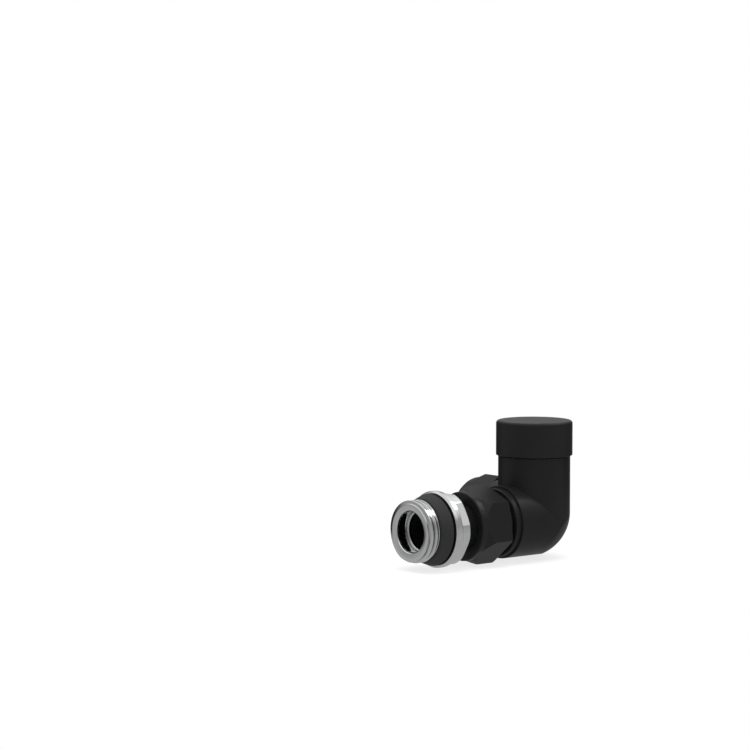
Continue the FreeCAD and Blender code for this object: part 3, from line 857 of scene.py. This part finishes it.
@dataclass
class Headwork:
    """What stands in the body under the cap: bonnet, gland, spindle and plug."""

    edge: float = 0.12 * MM
    broken: dict[str, tuple[str, str, Finish]] = field(default_factory=lambda: {
        "bonnet": ("valve", "brass", BRASS_UPRIGHT),
        "gland_nut": ("valve", "brass", BRASS_UPRIGHT),
        "spindle": ("spindle", "brass", BRASS_UPRIGHT),
        "plug_carrier": ("plug", "brass", BRASS_UPRIGHT),
    })
    plain: dict[str, Finish] = field(default_factory=lambda: {
        "bonnet_seal": SEAL_RUBBER,
        "thrust_washer": PTFE,
        "spindle_seal": SEAL_RUBBER,
        "gland_packing": PTFE,
        "gland_follower": BRASS_UPRIGHT,
        "seat_washer": WASHER_RUBBER,
        "washer_disc": BRASS_UPRIGHT,
        "washer_screw": BRASS_UPRIGHT,
    })

    def build(self) -> None:
        """Makes the pieces with broken edges and dresses the rest."""
        for node, (body, slot, finish) in self.broken.items():
            mesh = merged_copy(node)
            break_edges(mesh, self.edge, 2, over=28)
            hand_in(mesh, node, body, finish)
        for node, finish in self.plain.items():
            dress(node, finish)


@dataclass
class Body:
    """The cast body."""

    def build(self) -> None:
        """Dresses the body."""
        dress("valve_body", BODY_COAT)


@dataclass
class Studio:
    """Floor, lights, surroundings and camera.

    A room level is (the sine of the height, brightness), a patch is (direction, full to, gone
    by, gain) with its angles in degrees, and a lamp is (name, side of its square, watts,
    azimuth, elevation, distance).
    """

    azimuth: float = 50.84
    elevation: float = 4.784
    focal_length: float = 146.9
    distance: float = 1045.8 * MM
    object_right: float = 54.3 * MM
    object_down: float = 49.0 * MM
    floor_gap: float = 0.15 * MM
    floor_size: float = 12.0
    floor_reflected: float = 0.42
    shadow_share: float = 0.22
    room_levels: tuple = (
        (0.0, 0.38), (0.15, 0.31), (0.42, 0.33), (0.60, 0.72), (0.75, 0.95), (1.0, 0.75),
    )
    patches: tuple = (
        ((-1.0, 0.05, -0.05), 14.0, 32.0, 0.08),
        ((0.05, 1.0, 0.0), 14.0, 36.0, 0.12),
        ((0.16, 0.63, 0.77), 5.0, 13.0, 6.0),
        ((-0.77, 0.63, 0.10), 9.0, 20.0, 2.0),
    )
    lamps: tuple = (
        ("overhead", 1.2, 22.0, 0.0, 88.0, 1.4),
        ("side", 0.5, 1.2, 130.84, 22.0, 1.2),
        ("front", 1.2, 1.5, 15.84, 35.0, 1.8),
    )
    shadow_start: float = 60.0 * MM
    shadow_end: float = 130.0 * MM

    def camera(self) -> None:
        """Stands the camera round the valve, which sits right of and below the view's middle."""
        a, e = math.radians(self.azimuth), math.radians(self.elevation)
        right = Vector((math.cos(a), math.sin(a), 0))
        up = Vector((-math.sin(a) * math.sin(e), math.cos(a) * math.sin(e), math.cos(e)))
        back = Vector((math.sin(a) * math.cos(e), -math.cos(a) * math.cos(e), math.sin(e)))
        aim = CROSSING - right * self.object_right + up * self.object_down
        data = bpy.data.cameras.new("camera")
        data.lens = self.focal_length
        data.sensor_width = 36.0
        data.clip_start, data.clip_end = 0.05, 60.0
        camera = bpy.data.objects.new("camera", data)
        camera.location = aim + back * self.distance
        camera.rotation_mode = "QUATERNION"
        camera.rotation_quaternion = (-back).to_track_quat("-Z", "Y")
        bpy.context.scene.collection.objects.link(camera)
        bpy.context.scene.camera = camera

    def floor(self) -> None:
        """Lays a plain pale floor just under the lowest nut corner, white away from the valve."""
        mesh = bmesh.new()
        bmesh.ops.create_grid(mesh, x_segments=1, y_segments=1, size=self.floor_size / 2)
        data = bpy.data.meshes.new("floor")
        mesh.to_mesh(data)
        mesh.free()
        material = bpy.data.materials.new("pale_floor")
        material.use_nodes = True
        graph = Graph(material.node_tree)
        near = material.node_tree.nodes["Principled BSDF"]
        near.inputs["Base Color"].default_value = (0.95, 0.95, 0.95, 1.0)
        near.inputs["Roughness"].default_value = 0.9
        near.inputs["Specular IOR Level"].default_value = 0.0
        place = graph.add("ShaderNodeTexCoord").outputs["Object"]
        reach = graph.add("ShaderNodeVectorMath", {0: place}, operation="LENGTH")
        away = graph.add("ShaderNodeMapRange", {
            "Value": reach.outputs["Value"], "From Min": self.shadow_start,
            "From Max": self.shadow_end}, interpolation_type="SMOOTHSTEP")
        white = graph.add("ShaderNodeEmission", {"Color": (1, 1, 1, 1), "Strength": 1.0})
        plain = graph.between(away.outputs["Result"], 1.0 - self.shadow_share, 1.0)
        seen = graph.add("ShaderNodeMixShader", {"Fac": plain})
        dim = graph.add("ShaderNodeEmission", {"Color": (1, 1, 1, 1),
                                               "Strength": self.floor_reflected})
        clear = graph.add("ShaderNodeBsdfTransparent")
        mirrored = graph.add("ShaderNodeMixShader", {"Fac": away.outputs["Result"]})
        path = graph.add("ShaderNodeLightPath")
        mix = graph.add("ShaderNodeMixShader", {"Fac": path.outputs["Is Glossy Ray"]})
        links = material.node_tree.links
        links.new(near.outputs["BSDF"], seen.inputs[1])
        links.new(white.outputs["Emission"], seen.inputs[2])
        links.new(seen.outputs["Shader"], mix.inputs[1])
        links.new(dim.outputs["Emission"], mirrored.inputs[1])
        links.new(clear.outputs["BSDF"], mirrored.inputs[2])
        links.new(mirrored.outputs["Shader"], mix.inputs[2])
        output = material.node_tree.nodes["Material Output"]
        links.new(mix.outputs["Shader"], output.inputs["Surface"])
        data.materials.append(material)
        floor = bpy.data.objects.new("floor", data)
        floor.location = (CROSSING.x, CROSSING.y, CAD_BOX[0].z - self.floor_gap)
        bpy.context.scene.collection.objects.link(floor)

    @staticmethod
    def patch(graph: Graph, way: bpy.types.NodeSocket, level, direction: Vector, near: float,
              far: float, gain: float) -> bpy.types.NodeSocket:
        """Makes the room brighter or darker round one direction.

        Args:
            graph: The world's graph.
            way: The direction that a ray leaves in.
            level: The room's level before this patch.
            direction: The middle of the patch.
            near: The angle up to which the patch is full, in degrees.
            far: The angle at which it has faded out, in degrees.
            gain: How many times as bright the room is in its middle.

        Returns:
            The room's level with the patch.
        """
        facing = graph.add("ShaderNodeVectorMath", {0: way, 1: direction},
                           operation="DOT_PRODUCT")
        share = graph.add("ShaderNodeMapRange", {
            "Value": facing.outputs["Value"], "From Min": math.cos(math.radians(far)),
            "From Max": math.cos(math.radians(near)), "To Min": 1.0, "To Max": gain},
            interpolation_type="SMOOTHSTEP")
        return graph.math("MULTIPLY", level, share.outputs["Result"])

    def surroundings(self) -> None:
        """A white backdrop that the pieces see as a dimmer room with a bright ceiling."""
        world = bpy.data.worlds.new("studio")
        bpy.context.scene.world = world
        world.use_nodes = True
        world.node_tree.nodes.clear()
        graph = Graph(world.node_tree)
        way = graph.add("ShaderNodeTexCoord").outputs["Generated"]
        height = graph.add("ShaderNodeSeparateXYZ", {"Vector": way}).outputs["Z"]
        ramp = graph.add("ShaderNodeValToRGB", {"Fac": graph.between(height, 0.0, 1.0)})
        stops = ramp.color_ramp.elements
        (_, lowest), *between, (_, highest) = self.room_levels
        stops[0].color = (lowest, lowest, lowest, 1)
        stops[1].color = (highest, highest, highest, 1)
        for position, value in between:
            stops.new(position).color = (value, value, value, 1)
        level = 1.0
        for direction, near, far, gain in self.patches:
            level = self.patch(graph, way, level, Vector(direction).normalized(), near, far, gain)
        room = graph.add("ShaderNodeBackground", {"Color": ramp.outputs["Color"],
                                                  "Strength": level})
        white = graph.add("ShaderNodeBackground", {"Color": (1, 1, 1, 1), "Strength": 1.0})
        path = graph.add("ShaderNodeLightPath")
        mix = graph.add("ShaderNodeMixShader", {"Fac": path.outputs["Is Camera Ray"]})
        output = graph.add("ShaderNodeOutputWorld")
        links = world.node_tree.links
        links.new(room.outputs["Background"], mix.inputs[1])
        links.new(white.outputs["Background"], mix.inputs[2])
        links.new(mix.outputs["Shader"], output.inputs["Surface"])

    def light(self, name: str, size: float, power: float, azimuth: float, elevation: float,
              distance: float) -> None:
        """Hangs a square soft light that looks at the valve.

        Args:
            name: The light's name.
            size: The side of the square.
            power: Its power in watts.
            azimuth: Where it stands round the valve, measured as the camera's is.
            elevation: Its height as an angle.
            distance: How far away it is.
        """
        a, e = math.radians(azimuth), math.radians(elevation)
        out = Vector((math.sin(a) * math.cos(e), -math.cos(a) * math.cos(e), math.sin(e)))
        data = bpy.data.lights.new(name, "AREA")
        data.shape = "SQUARE"
        data.size = size
        data.energy = power
        lamp = bpy.data.objects.new(name, data)
        lamp.location = CROSSING + out * distance
        lamp.rotation_mode = "QUATERNION"
        lamp.rotation_quaternion = (-out).to_track_quat("-Z", "Y")
        lamp.visible_glossy = False
        bpy.context.scene.collection.objects.link(lamp)

    def build(self) -> None:
        """Sets the whole studio."""
        self.camera()
        self.floor()
        self.surroundings()
        for name, size, power, azimuth, elevation, distance in self.lamps:
            self.light(name, size, power, azimuth, elevation, distance)
        bpy.context.scene.view_settings.view_transform = "Standard"
        log.info("studio ready")


def main() -> None:
    """Builds every sub-assembly round the frame, then the studio."""
    logging.basicConfig(level=logging.INFO, format="%(name)s: %(message)s")
    assemblies = [
        Body(),
        Headwork(),
        Cap(),
        Coupling(Axis.RADIATOR, "tail_nut", "tail_nut", "tail_olive", BRASS_RADIATOR, 99.6),
        Coupling(Axis.PIPE, "pipe_nut", "pipe_nut", "pipe_olive", BRASS_PIPE, -5.0),
        RadiatorTail(),
        Studio(),
    ]
    for assembly in assemblies:
        assembly.build()


if __name__ == "__main__":
    main()
